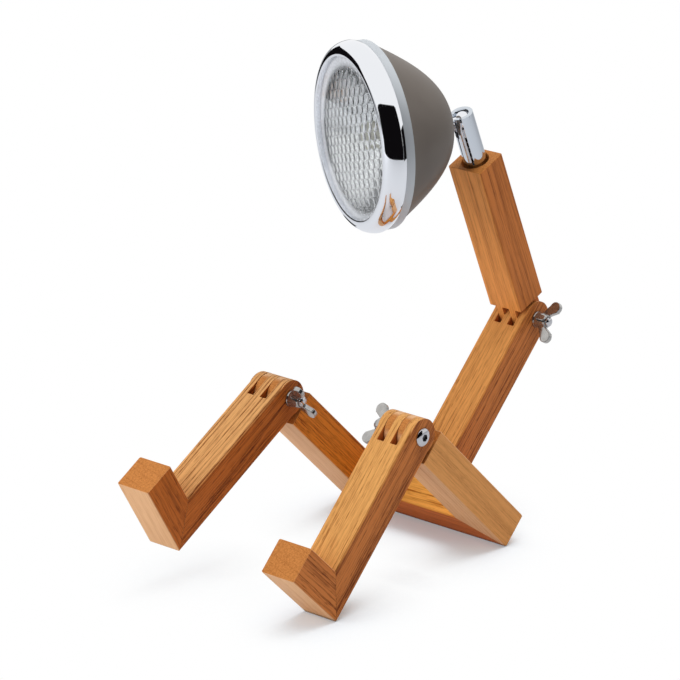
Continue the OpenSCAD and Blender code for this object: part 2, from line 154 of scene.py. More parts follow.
@dataclass
class Tree:
    """Adds nodes to one shader or geometry tree."""

    tree: bpy.types.NodeTree

    def add(
        self,
        kind: str,
        settings: dict[str, object] | None = None,
        inputs: dict[int | str, Input] | None = None,
        output: int | str = 0,
    ) -> Signal:
        """Add one node.

        Args:
            kind: Blender's own name for the type of node.
            settings: The node's properties, which are set first.
            inputs: A value or a signal for each socket, by name or number.
            output: The output socket to return, by name or number.

        Returns:
            That output.
        """
        node = self.tree.nodes.new(kind)
        for name, value in (settings or {}).items():
            setattr(node, name, value)
        for name, value in (inputs or {}).items():
            if isinstance(value, Signal):
                self.tree.links.new(value.socket, node.inputs[name])
            else:
                node.inputs[name].default_value = value
        return Signal(self, node.outputs[output]) if len(node.outputs) else Signal(self, None)

    def math(self, operation: str, *terms: Number) -> Signal:
        """Add a Math node over one, two or three numbers."""
        return self.add("ShaderNodeMath", {"operation": operation}, dict(enumerate(terms)))

    def vector(self, operation: str, *terms: Input, output: int | str = 0) -> Signal:
        """Add a Vector Math node."""
        return self.add(
            "ShaderNodeVectorMath", {"operation": operation}, dict(enumerate(terms)), output
        )

    def split(self, vector: Signal) -> tuple[Signal, Signal, Signal]:
        """Return a vector's three numbers."""
        node = self.add("ShaderNodeSeparateXYZ", inputs={0: vector}).socket.node
        return tuple(Signal(self, socket) for socket in node.outputs)

    def join(self, x: Number, y: Number, z: Number) -> Signal:
        """Return a vector of three numbers."""
        return self.add("ShaderNodeCombineXYZ", inputs={0: x, 1: y, 2: z})

    def mix(self, share: Number, first: Input, second: Input) -> Signal:
        """Return first and second mixed as colours, second by its share."""
        inputs = {0: share, 6: first, 7: second}
        return self.add("ShaderNodeMix", {"data_type": "RGBA"}, inputs, 2)

    def noise(
        self, vector: Signal, scale: float, detail: float = 2.0, rough: float = 0.5
    ) -> Signal:
        """Return a noise, near 0.5 in the middle."""
        inputs = {"Vector": vector, "Scale": scale, "Detail": detail, "Roughness": rough}
        return self.add("ShaderNodeTexNoise", inputs=inputs)

    def bump(self, height: Signal, distance: float, strength: float = 1.0) -> Signal:
        """Return the normal of a relief whose height runs from 0 to distance."""
        inputs = {"Height": height, "Distance": distance, "Strength": strength}
        return self.add("ShaderNodeBump", inputs=inputs)

    def surface(self, **sockets: Input) -> Signal:
        """Add the Principled shader; a socket's spaces are written as underscores."""
        inputs = {name.replace("_", " "): value for name, value in sockets.items()}
        return self.add("ShaderNodeBsdfPrincipled", inputs=inputs)

    def place(self, frame_at: Matrix | None = None) -> Signal:
        """Return the object's own coordinates in millimetres.

        Args:
            frame_at: The frame in which they are counted, or None for the part's own.

        Returns:
            A vector.
        """
        at = frame_at or Matrix.Identity(4)
        own = self.add("ShaderNodeTexCoord", output="Object")
        inputs = {
            "Vector": own,
            "Location": at.to_translation(),
            "Rotation": at.to_euler(),
            "Scale": (MM, MM, MM),
        }
        return self.add("ShaderNodeMapping", {"vector_type": "TEXTURE"}, inputs)


# --- finishes ---


@dataclass(frozen=True)
class Finish:
    """A material under a name of its own, which each kind paints in its way."""

    name: str

    def material(self) -> bpy.types.Material:
        """Make the material, or find the one made before.

        Returns:
            The material.
        """
        found = bpy.data.materials.get(self.name)
        if found:
            return found
        material = bpy.data.materials.new(self.name)
        material.use_nodes = True
        material.node_tree.nodes.clear()
        tree = Tree(material.node_tree)
        tree.add("ShaderNodeOutputMaterial", inputs={"Surface": self._paint(tree)})
        return material

    def _paint(self, tree: Tree) -> Signal:
        """Add the nodes.

        Args:
            tree: The material's tree.

        Returns:
            The surface.
        """
        raise NotImplementedError


class Tone(Enum):
    """Colours of the wood, face by face: between the pores and in them."""

    # Partly painted light: each tone was set to the light on its face. The darker, redder side tones partly paint
    # shade, and the pale BLUSH of the undersides partly paints the floor's reflection. The rest is the wood's own
    # colour.
    STRAW = (shade(232, 172, 108), shade(132, 72, 30))
    GOLD = (shade(232, 170, 98), shade(152, 88, 38))
    HONEY = (shade(230, 160, 88), shade(152, 90, 42))
    COPPER = (shade(236, 158, 82), shade(160, 90, 40))
    FLAME = (shade(250, 178, 84), shade(176, 98, 28))
    WALNUT = (shade(214, 118, 54), shade(130, 62, 24))
    CHESTNUT = (shade(204, 114, 46), shade(100, 42, 10))
    EMBER = (shade(236, 142, 48), shade(150, 72, 16))
    RUSSET = (shade(214, 128, 62), shade(118, 56, 18))
    TAN = (shade(238, 166, 94), shade(164, 100, 44))
    BLUSH = (shade(238, 187, 137), shade(192, 128, 82))
    AMBER = (shade(211, 139, 73), shade(147, 77, 28))


@dataclass(frozen=True)
class Grain:
    """How strongly a face shows rings, pores, fibres and broad streaks."""

    rings: float
    pores: float
    fibres: float
    streaks: float


class Show(Enum):
    """Ways in which a bar shows its grain."""

    LINED = Grain(0.95, 0.55, 1.00, 0.30)
    DASHED = Grain(0.28, 0.58, 1.05, 0.45)
    SOFT = Grain(0.15, 0.30, 0.85, 0.70)
    STREAKED = Grain(0.45, 0.55, 1.55, 1.20)
    PLAIN = Grain(0.15, 0.22, 0.60, 0.50)
    BROAD = Grain(0.32, 0.26, 1.00, 1.15)


@dataclass(frozen=True)
class Wood(Finish):
    """Oiled ash, with straight rings and open pores.

    The rings lie round a pith well outside the bar, so one pair of faces shows them as close
    lines and the other as broad bands.
    """

    at: Matrix
    face: Tone
    side: Tone
    face_show: Show
    side_show: Show
    pith_x: float
    pith_y: float
    # Painted shade: how far from other surfaces, in millimetres, the wood is darkened.
    shade_reach: float = 4.0
    end: Tone = Tone.AMBER
    ring: float = 3.4
    base_dark: float = 0.10
    # Painted shade: the deep brown that crevices and joints darken towards.
    painted_shade: Colour = shade(52, 26, 12)

    def _paint(self, tree: Tree) -> Signal:
        """Lay rings, pores and fibres in the bar's own frame, with Z along the grain."""
        own = tree.place(self.at)
        x, y, z = tree.split(own)
        normal = tree.add("ShaderNodeTexCoord", output="Normal")
        sideways, endways = (
            abs(tree.vector("DOT_PRODUCT", normal, self.at.col[axis].xyz, output="Value"))
            for axis in (0, 2)
        )
        side, end = sideways.rise(0.5, 0.9), endways.rise(0.75, 0.95)

        bow = tree.noise(tree.join(x * 0.02, y * 0.02, z * 0.006), 1.0, 1.0) - 0.5
        dx, dy = x - self.pith_x, y - self.pith_y
        radius = (dx * dx + dy * dy) ** 0.5 + bow * 4.0
        uneven = tree.noise(tree.join(radius * 0.16, z * 0.002, self.pith_x), 1.0, 1.0)
        ring = (radius / self.ring + uneven * 2.2).part()
        line = (1.0 - ring.rise(0.02, 0.42)) * ring.rise(0.0, 0.06)
        weight = tree.noise(tree.join(radius * 0.3, z * 0.012, self.pith_y), 1.0)
        line = line * (0.35 + weight.rise(0.35, 0.65) * 0.65)
        dashes = tree.noise(tree.join(x * 1.2, y * 1.2, z * 0.13), 1.0).rise(0.52, 0.62)
        pores = dashes * (0.4 + line * 0.6)
        fibre = tree.noise(tree.join(x * 1.4, y * 1.4, z * 0.04), 1.0, 3.0, 0.65) - 0.5
        streak = tree.noise(tree.join(x * 0.28, y * 0.28, z * 0.008), 1.0) - 0.5

        parts = (line, pores, fibre * 1.6, streak * 1.3)
        flat, across = (
            sum((p * w for p, w in zip(parts, astuple(show.value))), start=self.base_dark)
            for show in (self.face_show, self.side_show)
        )
        dark = (flat * (1.0 - side) + across * side).most(0.0).least(1.0)
        colour = tree.mix(dark, *self.face.value)
        # Partly painted shade: the side faces take the side tone, which is darker and redder than the face tone.
        colour = tree.mix(side, colour, tree.mix(dark, *self.side.value))
        pitted = tree.noise(own, 1.1) - 0.5
        cut = (line * 0.22 + pitted * 1.3 + 0.25).most(0.0).least(1.0)
        colour = tree.mix(end, colour, tree.mix(cut, *self.end.value))
        # Painted shade: in crevices, joints and where a bar meets the floor, the colour darkens towards a deep
        # brown.
        reach = {"Color": colour, "Distance": self.shade_reach * MM}
        unshaded = tree.add("ShaderNodeAmbientOcclusion", {"samples": 6}, reach, "AO")
        colour = tree.mix((1.0 - unshaded.rise(0.1, 0.62)) * 0.75, colour, self.painted_shade)
        height = 1.0 - (pores * 0.8 + line * 0.2)
        return tree.surface(
            Base_Color=colour,
            Roughness=0.42 + dark * 0.16,
            Specular_IOR_Level=0.12,
            Normal=tree.bump(height, 0.1 * MM, 0.5),
        )


@dataclass(frozen=True)
class Chrome(Finish):
    """Polished chrome with the faintest handling haze."""

    name: str = "polished_chrome"
    base: Colour = shade(236, 238, 242)
    low: float = 0.035
    high: float = 0.06

    def _haze(self, tree: Tree) -> Signal:
        """Return a roughness that changes a little over the surface."""
        haze = tree.noise(tree.place(), 0.12, 3.0)
        return self.low + haze.rise(0.35, 0.75) * (self.high - self.low)

    def _paint(self, tree: Tree) -> Signal:
        """Polish the whole surface."""
        return tree.surface(Base_Color=self.base, Metallic=1.0, Roughness=self._haze(tree))


@dataclass(frozen=True)
class BandedChrome(Chrome):
    """Polished chrome with a brushed band behind a given depth of the rim."""

    name: str = "rim_chrome"
    at: Matrix = field(default_factory=Matrix)
    band: float = 0.0
    brushed: Colour = shade(196, 201, 206)

    def _paint(self, tree: Tree) -> Signal:
        """Polish the front and brush the band."""
        _, _, depth = tree.split(tree.place(self.at))
        band = 1.0 - depth.rise(self.band - 0.1, self.band + 0.1)
        return tree.surface(
            Base_Color=tree.mix(band, self.base, self.brushed),
            Metallic=1.0 - band * 0.75,
            Roughness=self._haze(tree) + band * 0.4,
        )


@dataclass(frozen=True)
class Plated(Finish):
    """Turned and plated steel, brass or bright sheet: fine rings of tool marks."""

    base: Colour
    rough: float = 0.24
    grain: float = 4.0
    metal: float = 1.0
    dimming: float = 0.86

    def _paint(self, tree: Tree) -> Signal:
        """Speckle the gloss and darken it a little in broad random patches."""
        own = tree.place()
        speck = tree.noise(own, self.grain, 3.0)
        worn = tree.noise(own, 0.35)
        low = (*(self.dimming * c for c in self.base[:3]), 1.0)
        return tree.surface(
            Base_Color=tree.mix(worn.rise(0.3, 0.7), self.base, low),
            Metallic=self.metal,
            Roughness=self.rough - 0.05 + speck * 0.1,
            Normal=tree.bump(speck, 0.01 * MM, 0.1),
        )


BRIGHT_STEEL = Plated("bright_steel", shade(214, 216, 220), 0.16)


@dataclass(frozen=True)
class Socketed(Finish):
    """A bolt of bright steel whose hexagon socket is painted dark, as painted shade in the recess.

    The frame stands on the bar's face under the head, with Z outward.
    """

    at: Matrix
    base: Colour = shade(196, 196, 199)
    socket_shade: Colour = shade(50, 45, 43)
    socket: float = 2.34
    depth: float = 1.85

    def _paint(self, tree: Tree) -> Signal:
        """Paint shade into the socket, and speckle the gloss elsewhere."""
        x, y, z = tree.split(tree.place(self.at))
        radius = (x * x + y * y) ** 0.5
        # Painted shade: the hexagon socket's recess is darkened and roughened.
        within = 1.0 - radius.rise(self.socket - 0.1, self.socket)
        shaded_socket = within * (1.0 - z.rise(self.depth - 0.1, self.depth)) * z.rise(0.1, 0.3) * 0.8
        speck = tree.noise(tree.place(), 4.0, 3.0)
        return tree.surface(
            Base_Color=tree.mix(shaded_socket, self.base, self.socket_shade),
            Metallic=1.0,
            Roughness=0.07 + speck * 0.05 + shaded_socket * 0.4,
        )


@dataclass(frozen=True)
class Lacquer(Finish):
    """Satin lacquer with a fine, even orange peel."""

    base: Colour
    deep: Colour
    rough: float = 0.42

    def _paint(self, tree: Tree) -> Signal:
        """Add the peel and a slight change of tone."""
        own = tree.place()
        tone = tree.noise(own, 0.03)
        peel = tree.noise(own, 1.6)
        return tree.surface(
            Base_Color=tree.mix(tone.rise(0.3, 0.7), self.base, self.deep),
            Roughness=self.rough - 0.03 + peel * 0.06,
            Specular_IOR_Level=0.12,
            Normal=tree.bump(peel, 0.006 * MM, 0.4),
        )


@dataclass(frozen=True)
class Plain(Finish):
    """Beech, rubber, ceramic or frosted glass: matt, with a fine tooth."""

    base: Colour
    deep: Colour
    rough: float
    tooth: float = 3.0

    def _paint(self, tree: Tree) -> Signal:
        """Mottle the colour and roughen the surface."""
        speck = tree.noise(tree.place(), self.tooth, 3.0)
        return tree.surface(
            Base_Color=tree.mix(speck.rise(0.35, 0.7), self.base, self.deep),
            Roughness=self.rough,
            Normal=tree.bump(speck, 0.02 * MM, 0.4),
        )


def staggered(
    u: Signal, v: Signal, pitch: Number, width: float = 1.0, height: float = 1.0
) -> Signal:
    """Measure to the nearest centre of a staggered lattice.

    Args:
        u: The place across the columns.
        v: The place along the columns.
        pitch: From one centre to the next in a column, and from column to column.
        width: The length across that counts as 1.
        height: The length along that counts as 1.

    Returns:
        The squared distance.
    """

    def cell(shift: float) -> Signal:
        """Return the squared distance in one of the two square lattices."""
        across = ((u / (pitch * 2.0) + shift).part() - 0.5) * (pitch * 2.0 / width)
        along = ((v / pitch + shift).part() - 0.5) * (pitch / height)
        return across * across + along * along

    return cell(0.0).least(cell(0.5))


@dataclass(frozen=True)
class Glass(Finish):
    """Pressed glass: a frosted edge, and pillows on the inner face with a painted pattern of the light they
    refract.

    The frame's Z axis runs out through the lens. The skin between the faces lies at the level
    middle, less fall times the squared radius.
    """

    at: Matrix
    pitch: float
    reach: float
    middle: float
    fall: float
    base: Colour = shade(250, 252, 252)
    border: Colour = shade(182, 184, 187)
    milk: Colour = shade(242, 245, 250)

    def _paint(self, tree: Tree) -> Signal:
        """Paint the pillows' refracted light: grey borders, clear dashes on one side, a finer speckle on the
        other.
        """
        u, v, w = tree.split(tree.place(self.at))
        squared = u * u + v * v
        inner = 1.0 - (w + squared * self.fall).rise(self.middle - 0.1, self.middle + 0.1)
        edge = (squared**0.5 - u * 0.08).rise(self.reach - 3.0, self.reach + 3.0)
        # Painted light and shade: the clear dashes on one side, the speckle on the other and the grey between
        # stand for the light that the pillows refract.
        dash = 1.0 - staggered(u, v, self.pitch, 1.7, 2.3).rise(0.6, 1.6)
        speck = tree.noise(tree.join(u * 0.4, v * 0.9, 0.0), 1.0).rise(0.38, 0.58)
        fine = u.rise(-22.0, 8.0)
        clear = dash * (1.0 - fine * 0.75) + speck * (0.15 + fine * 0.6)
        grey = (1.0 - clear.least(1.0)) * (1.0 - edge) * inner
        pressed = tree.surface(
            Base_Color=tree.mix(grey, self.base, self.border),
            Roughness=0.01 + speck * 0.02,
            Transmission_Weight=1.0,
            IOR=1.5,
        )
        milk = tree.surface(Base_Color=self.milk, Roughness=0.3)
        share = edge * (0.8 - speck * 0.12)
        return tree.add("ShaderNodeMixShader", inputs={0: share, 1: pressed, 2: milk})


# --- meshes ---


def object_from(name: str, build: Callable[[BMesh], None]) -> Piece:
    """Make an object from a bmesh.

    Args:
        name: The piece's name.
        build: Fills the bmesh.

    Returns:
        The object, at the origin.
    """
    mesh = bpy.data.meshes.new(name)
    work = bmesh.new()
    build(work)
    work.to_mesh(mesh)
    work.free()
    made = bpy.data.objects.new(name, mesh)
    bpy.context.scene.collection.objects.link(made)
    return made


def smooth(piece: Piece, degrees: float = 32.0) -> Piece:
    """Shade a piece smooth, apart from its sharp edges.

    Args:
        piece: The piece.
        degrees: The angle between faces from which their edge is sharp.

    Returns:
        The piece.
    """
    piece.data.polygons.foreach_set("use_smooth", [True] * len(piece.data.polygons))
    piece.data.set_sharp_from_angle(angle=radians(degrees))
    return piece


def settle(piece: Piece) -> Piece:
    """Turn a piece's modifiers into plain mesh.

    Args:
        piece: The piece.

    Returns:
        The piece.
    """
    graph = bpy.context.evaluated_depsgraph_get()
    plain = bpy.data.meshes.new_from_object(
        piece.evaluated_get(graph), preserve_all_data_layers=True, depsgraph=graph
    )
    piece.modifiers.clear()
    plain.name = piece.name
    piece.data = plain
    return piece


def lathe(name: str, outline: Profile, at: Matrix, steps: int = 160) -> Piece:
    """Turn a closed outline about the Z axis of a frame.

    Args:
        name: The piece's name.
        outline: (radius, height) in millimetres, in order; radius 0 closes onto the axis.
        at: The frame.
        steps: Faces round the axis.

    Returns:
        The piece, smooth but for its sharp edges.
    """

    def build(work: BMesh) -> None:
        """Fill the mesh ring by ring."""
        rings = []
        for radius, height in outline:
            ring = []
            for step in range(steps if radius else 1):
                angle = tau * step / steps
                local = Vector((radius * cos(angle), radius * sin(angle), height))
                ring.append(work.verts.new(at @ (local * MM)))
            rings.append(ring)
        for first, second in zip(rings, rings[1:] + rings[:1]):
            if len(first) == 1 and len(second) == 1:
                continue
            for step in range(steps):
                after = (step + 1) % steps
                corners = [first[step % len(first)], first[after % len(first)]]
                corners += [second[after % len(second)], second[step % len(second)]]
                work.faces.new(list(dict.fromkeys(corners)))
        bmesh.ops.recalc_face_normals(work, faces=work.faces)

    return smooth(object_from(name, build))


def clean_copy(node: str, name: str, flatten: float = 0.0) -> Piece:
    """Copy a CAD node's mesh without its doubled points and its stored normals.

    Args:
        node: The CAD node.
        name: The new piece's name.
        flatten: Degrees between faces below which they are merged.

    Returns:
        The piece.
    """

    def build(work: BMesh) -> None:
        """Fill the mesh from the node's own."""
        work.from_mesh(frame["nodes"][node].data)
        bmesh.ops.remove_doubles(work, verts=work.verts, dist=JOIN * MM)
        if flatten:
            limit = radians(flatten)
            bmesh.ops.dissolve_limit(work, angle_limit=limit, verts=work.verts, edges=work.edges)

    piece = object_from(name, build)
    stored = piece.data.attributes.get("custom_normal")
    if stored:
        piece.data.attributes.remove(stored)
    return piece


def eased_copy(node: str, name: str, ease: float) -> Piece:
    """Copy a CAD node as a clean mesh with its sharp edges eased.

    Args:
        node: The CAD node.
        name: The new piece's name.
        ease: Width of the eased edge, in millimetres.

    Returns:
        The piece.
    """
    piece = smooth(clean_copy(node, name, flatten=0.5))
    bevel = piece.modifiers.new("ease", "BEVEL")
    bevel.width = ease * MM
    bevel.segments = 2
    bevel.limit_method = "ANGLE"
    bevel.angle_limit = radians(EASED_FROM)
    piece.modifiers.new("weigh", "WEIGHTED_NORMAL")
    return settle(piece)


def cast_copy(node: str, name: str, grain: float = 0.2, rounds: int = 9) -> Piece:
    """Copy a CAD node as a casting: every edge and inner corner rounded.

    Args:
        node: The CAD node.
        name: The new piece's name.
        grain: Size of the new faces, in millimetres.
        rounds: How often the mesh is smoothed.

    Returns:
        The piece.
    """
    piece = clean_copy(node, name)
    remesh = piece.modifiers.new("even", "REMESH")
    remesh.mode = "VOXEL"
    remesh.voxel_size = grain * MM
    soften = piece.modifiers.new("soften", "SMOOTH")
    soften.factor = 0.6
    soften.iterations = rounds
    return smooth(settle(piece), 180.0)


def coat(piece: Piece, finish: Finish) -> None:
    """Give a piece one finish."""
    piece.data.materials.clear()
    piece.data.materials.append(finish.material())


def dress(piece: Piece, finish: Finish, body: str, slot: str, *nodes: str) -> None:
    """Finish a new piece and tie it to the frame.

    Args:
        piece: The piece.
        finish: Its finish.
        body: The CAD body that it rides on.
        slot: The record's material slot; not used.
        nodes: The CAD nodes that it stands for.
    """
    coat(piece, finish)
    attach(piece, body)
    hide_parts(*nodes)
    log.info("%s rides on %s, %d faces", piece.name, body, len(piece.data.polygons))


def repaint(finish: Finish, *nodes: str) -> None:
    """Give one finish to CAD nodes that stay.

    Args:
        finish: The finish.
        nodes: The CAD nodes.
    """
    for node in nodes:
        coat(frame["nodes"][node], finish)
        log.info("%s keeps its CAD shape", node)


class Recipe:
    """A Geometry Nodes tree with named sizes, built in the script and baked to a mesh."""

    def __init__(self, name: str) -> None:
        """Start a tree with a mesh in and out."""
        self.group = bpy.data.node_groups.new(name, "GeometryNodeTree")
        for way in ("INPUT", "OUTPUT"):
            self.group.interface.new_socket("Mesh", in_out=way, socket_type="NodeSocketGeometry")
        self.tree = Tree(self.group)
        self.source = self.group.nodes.new("NodeGroupInput")
        self.mesh = Signal(self.tree, self.source.outputs["Mesh"])
        self.values: dict[str, object] = {}

    def size(self, name: str, value: Input, kind: str = "NodeSocketFloat") -> Signal:
        """Add a named input.

        Args:
            name: The input's name.
            value: What this piece sets it to.
            kind: Blender's own name for the type of socket.

        Returns:
            The input inside the tree.
        """
        socket = self.group.interface.new_socket(name, in_out="INPUT", socket_type=kind)
        self.values[socket.identifier] = value
        return Signal(self.tree, self.source.outputs[name])

    def bake(self, piece: Piece, finish: Finish, result: Signal) -> Piece:
        """Close the tree, run it on a piece and keep the outcome as plain mesh.

        Args:
            piece: The object that carries the modifier.
            finish: Its finish.
            result: The geometry to keep.

        Returns:
            The piece.
        """
        material = self.size("Finish", finish.material(), "NodeSocketMaterial")
        real = self.tree.add("GeometryNodeRealizeInstances", inputs={0: result})
        done = self.tree.add("GeometryNodeSetMaterial", inputs={0: real, "Material": material})
        self.tree.add("NodeGroupOutput", inputs={0: done})
        modifier = piece.modifiers.new(self.group.name, "NODES")
        modifier.node_group = self.group
        for identifier, value in self.values.items():
            modifier[identifier] = value
        return settle(piece)


# --- skeleton ---


@dataclass
class Skeleton:
    """Where the joints are, and how each bar lies."""

    thigh_degrees: float = 45.0
    left_shin_degrees: float = 29.7
    neck_degrees: float = 21.8
    head_tilt_degrees: float = 18.0

    def __post_init__(self) -> None:
        """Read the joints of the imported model."""
        self.joints = {joint["name"]: joint for joint in frame["joints"]}

    def at(self, joint: str) -> Vector:
        """Return a joint's place."""
        return Vector(self.joints[joint]["pos_m"])

    def axis(self, joint: str) -> Vector:
        """Return a joint's axis."""
        return Vector(self.joints[joint]["axis"]).normalized()

    def bar(self, joint: str, degrees: float) -> Matrix:
        """Return a bar's frame: X across the figure, Z along the grain.

        Args:
            joint: The joint that it starts from.
            degrees: Turn about X from upright.

        Returns:
            The frame.
        """
        return Matrix.Translation(self.at(joint)) @ turn_about("X", degrees)

    def tube(self) -> Matrix:
        """Return the knuckle's frame: Z up the tube, X along the pin line of the tilt."""
        return frame_of(self.at("head_tilt"), self.axis("head_tilt"), self.axis("head_swivel"))

    def head(self) -> Matrix:
        """Return the head's frame: Z from the ball to the lens, Y up."""
        return self.tube() @ turn_about("X", 90 - self.head_tilt_degrees)


# --- sub-assemblies ---


@dataclass
class Body:
    """The wooden bars, their dowels, and the bolts and wing nuts that clamp them."""

    bones: Skeleton
    ease: float = 0.28
    bar_width: float = 25.0

    def build(self) -> None:
        """Make every wooden piece and every fastener of the figure."""
        self._bars()
        self._dowels()
        self._fasteners()

    def _bars(self) -> None:
        """Copy the bars with eased edges, each with its own stick of wood."""
        bones, bar = self.bones, self.bones.bar
        hip = right = -bones.thigh_degrees
        left = bones.left_shin_degrees - 90
        up = turn_about("X", hip).col[1].xyz
        sideways = frame_of(bones.at("right_knee"), up, Vector((1, 0, 0)))
        lined, dashed, soft, streaked, plain, broad = Show
        sticks = (
            ("hip_crossbar", "seat", sideways, Tone.WALNUT, Tone.FLAME, plain, lined, -60, 90),
            ("left_thigh", "seat", bar("left_knee", hip - 90),
             Tone.BLUSH, Tone.EMBER, plain, streaked, -150, 30),
            ("right_thigh", "seat", bar("right_knee", hip - 90),
             Tone.BLUSH, Tone.TAN, soft, soft, 170, 30),
            ("torso_bar", "seat", bar("shoulder", hip),
             Tone.HONEY, Tone.RUSSET, dashed, streaked, 90, -70),
            ("left_shin", "left_lower_leg", bar("left_knee", left),
             Tone.STRAW, Tone.CHESTNUT, lined, streaked, 160, 24),
            ("left_foot", "left_lower_leg", bar("left_knee", left + 90),
             Tone.BLUSH, Tone.CHESTNUT, plain, dashed, 70, 150),
            ("right_shin", "right_lower_leg", bar("right_knee", right),
             Tone.GOLD, Tone.RUSSET, dashed, streaked, -150, 30),
            ("right_foot", "right_lower_leg", bar("right_knee", right + 90),
             Tone.BLUSH, Tone.RUSSET, plain, streaked, 80, 140),
            ("neck_bar", "neck", bar("shoulder", bones.neck_degrees),
             Tone.COPPER, Tone.RUSSET, broad, broad, -120, -60, 1.2),
        )
        for node, body, *kind in sticks:
            piece = eased_copy(node, f"{node}_stick", self.ease)
            slot = "wood_end" if node.endswith("foot") else "wood"
            dress(piece, Wood(f"{node}_wood", *kind), body, slot, node)

    def _dowels(self) -> None:
        """Finish the dowels, which stay as the CAD has them."""
        beech = Plain("beech_dowel", shade(206, 170, 124), shade(182, 142, 96), 0.55, 1.2)
        repaint(beech, *(node for node in frame["nodes"] if "dowel" in node))

    def _fasteners(self) -> None:
        """Copy the bolts and the wing nuts with eased edges."""
        half = self.bar_width / 2 * MM
        bolts = (
            ("left_knee", "left_lower_leg", -1),
            ("right_knee", "right_lower_leg", 1),
            ("shoulder", "seat", -1),
        )
        nickel = Plated("bright_nickel", shade(184, 182, 179), 0.12, 1.2, 0.9)
        for joint, body, side in bolts:
            outward = Vector((side, 0, 0))
            at = frame_of(self.bones.at(joint) + outward * half, Vector((0, 1, 0)), outward)
            steel = Socketed(f"{joint}_bolt_steel", at)
            piece = eased_copy(f"{joint}_bolt", f"{joint}_bolt_turned", 0.2)
            dress(piece, steel, body, "plated_steel", f"{joint}_bolt")
            nut = cast_copy(f"{joint}_wing_nut", f"{joint}_wing_nut_cast")
            dress(nut, nickel, f"{joint}_nut", "chrome", f"{joint}_wing_nut")


@dataclass
class Knuckle:
    """The slotted tube on the neck, with its spring and seat, and the parts below it."""

    bones: Skeleton
    spring_radius: float = 4.88
    spring_wire: float = 0.42
    spring_turns: float = 6.0

    def build(self) -> None:
        """Make the tube and the spring, and finish what the CAD already shows."""
        tube = eased_copy("knuckle_tube", "knuckle_tube_turned", 0.22)
        blue = Chrome("tube_chrome", shade(208, 214, 221), 0.05, 0.09)
        dress(tube, blue, "knuckle", "chrome", "knuckle_tube")
        self._spring()
        repaint(Plated("turned_brass", shade(206, 170, 98), 0.28), "neck_insert")
        repaint(BRIGHT_STEEL, "ball_seat", "tube_washer", "tube_screw")

    def _spring(self) -> None:
        """Wind the spring below the seat."""
        at = self.bones.tube()
        inverse = at.inverted()
        heights = [(inverse @ v.co).z for v in frame["nodes"]["seat_spring"].data.vertices]
        low, high = min(heights), max(heights)
        steel = Plated("spring_steel", shade(190, 192, 196), 0.22)
        piece = object_from("seat_spring_wound", lambda work: None)
        recipe = Recipe("seat_spring")
        add, wire = recipe.tree.add, self.spring_wire * MM
        winding = {
            "Resolution": 48,
            "Rotations": recipe.size("Turns", self.spring_turns),
            "Start Radius": recipe.size("Radius", self.spring_radius * MM),
            "End Radius": self.spring_radius * MM,
            "Height": recipe.size("Height", high - low - 2 * wire),
        }
        spiral = add("GeometryNodeCurveSpiral", inputs=winding)
        round_wire = {"Resolution": 12, "Radius": recipe.size("Wire", wire)}
        circle = add("GeometryNodeCurvePrimitiveCircle", inputs=round_wire)
        sweep = {"Curve": spiral, "Profile Curve": circle, "Fill Caps": True}
        coil = add("GeometryNodeCurveToMesh", inputs=sweep)
        foot = at @ Vector((0, 0, low + wire))
        stand = {0: coil, "Translation": foot, "Rotation": at.to_euler()}
        stood = add("GeometryNodeTransform", inputs=stand)
        piece = smooth(recipe.bake(piece, steel, stood), 60)
        dress(piece, steel, "knuckle", "plated_steel", "seat_spring")


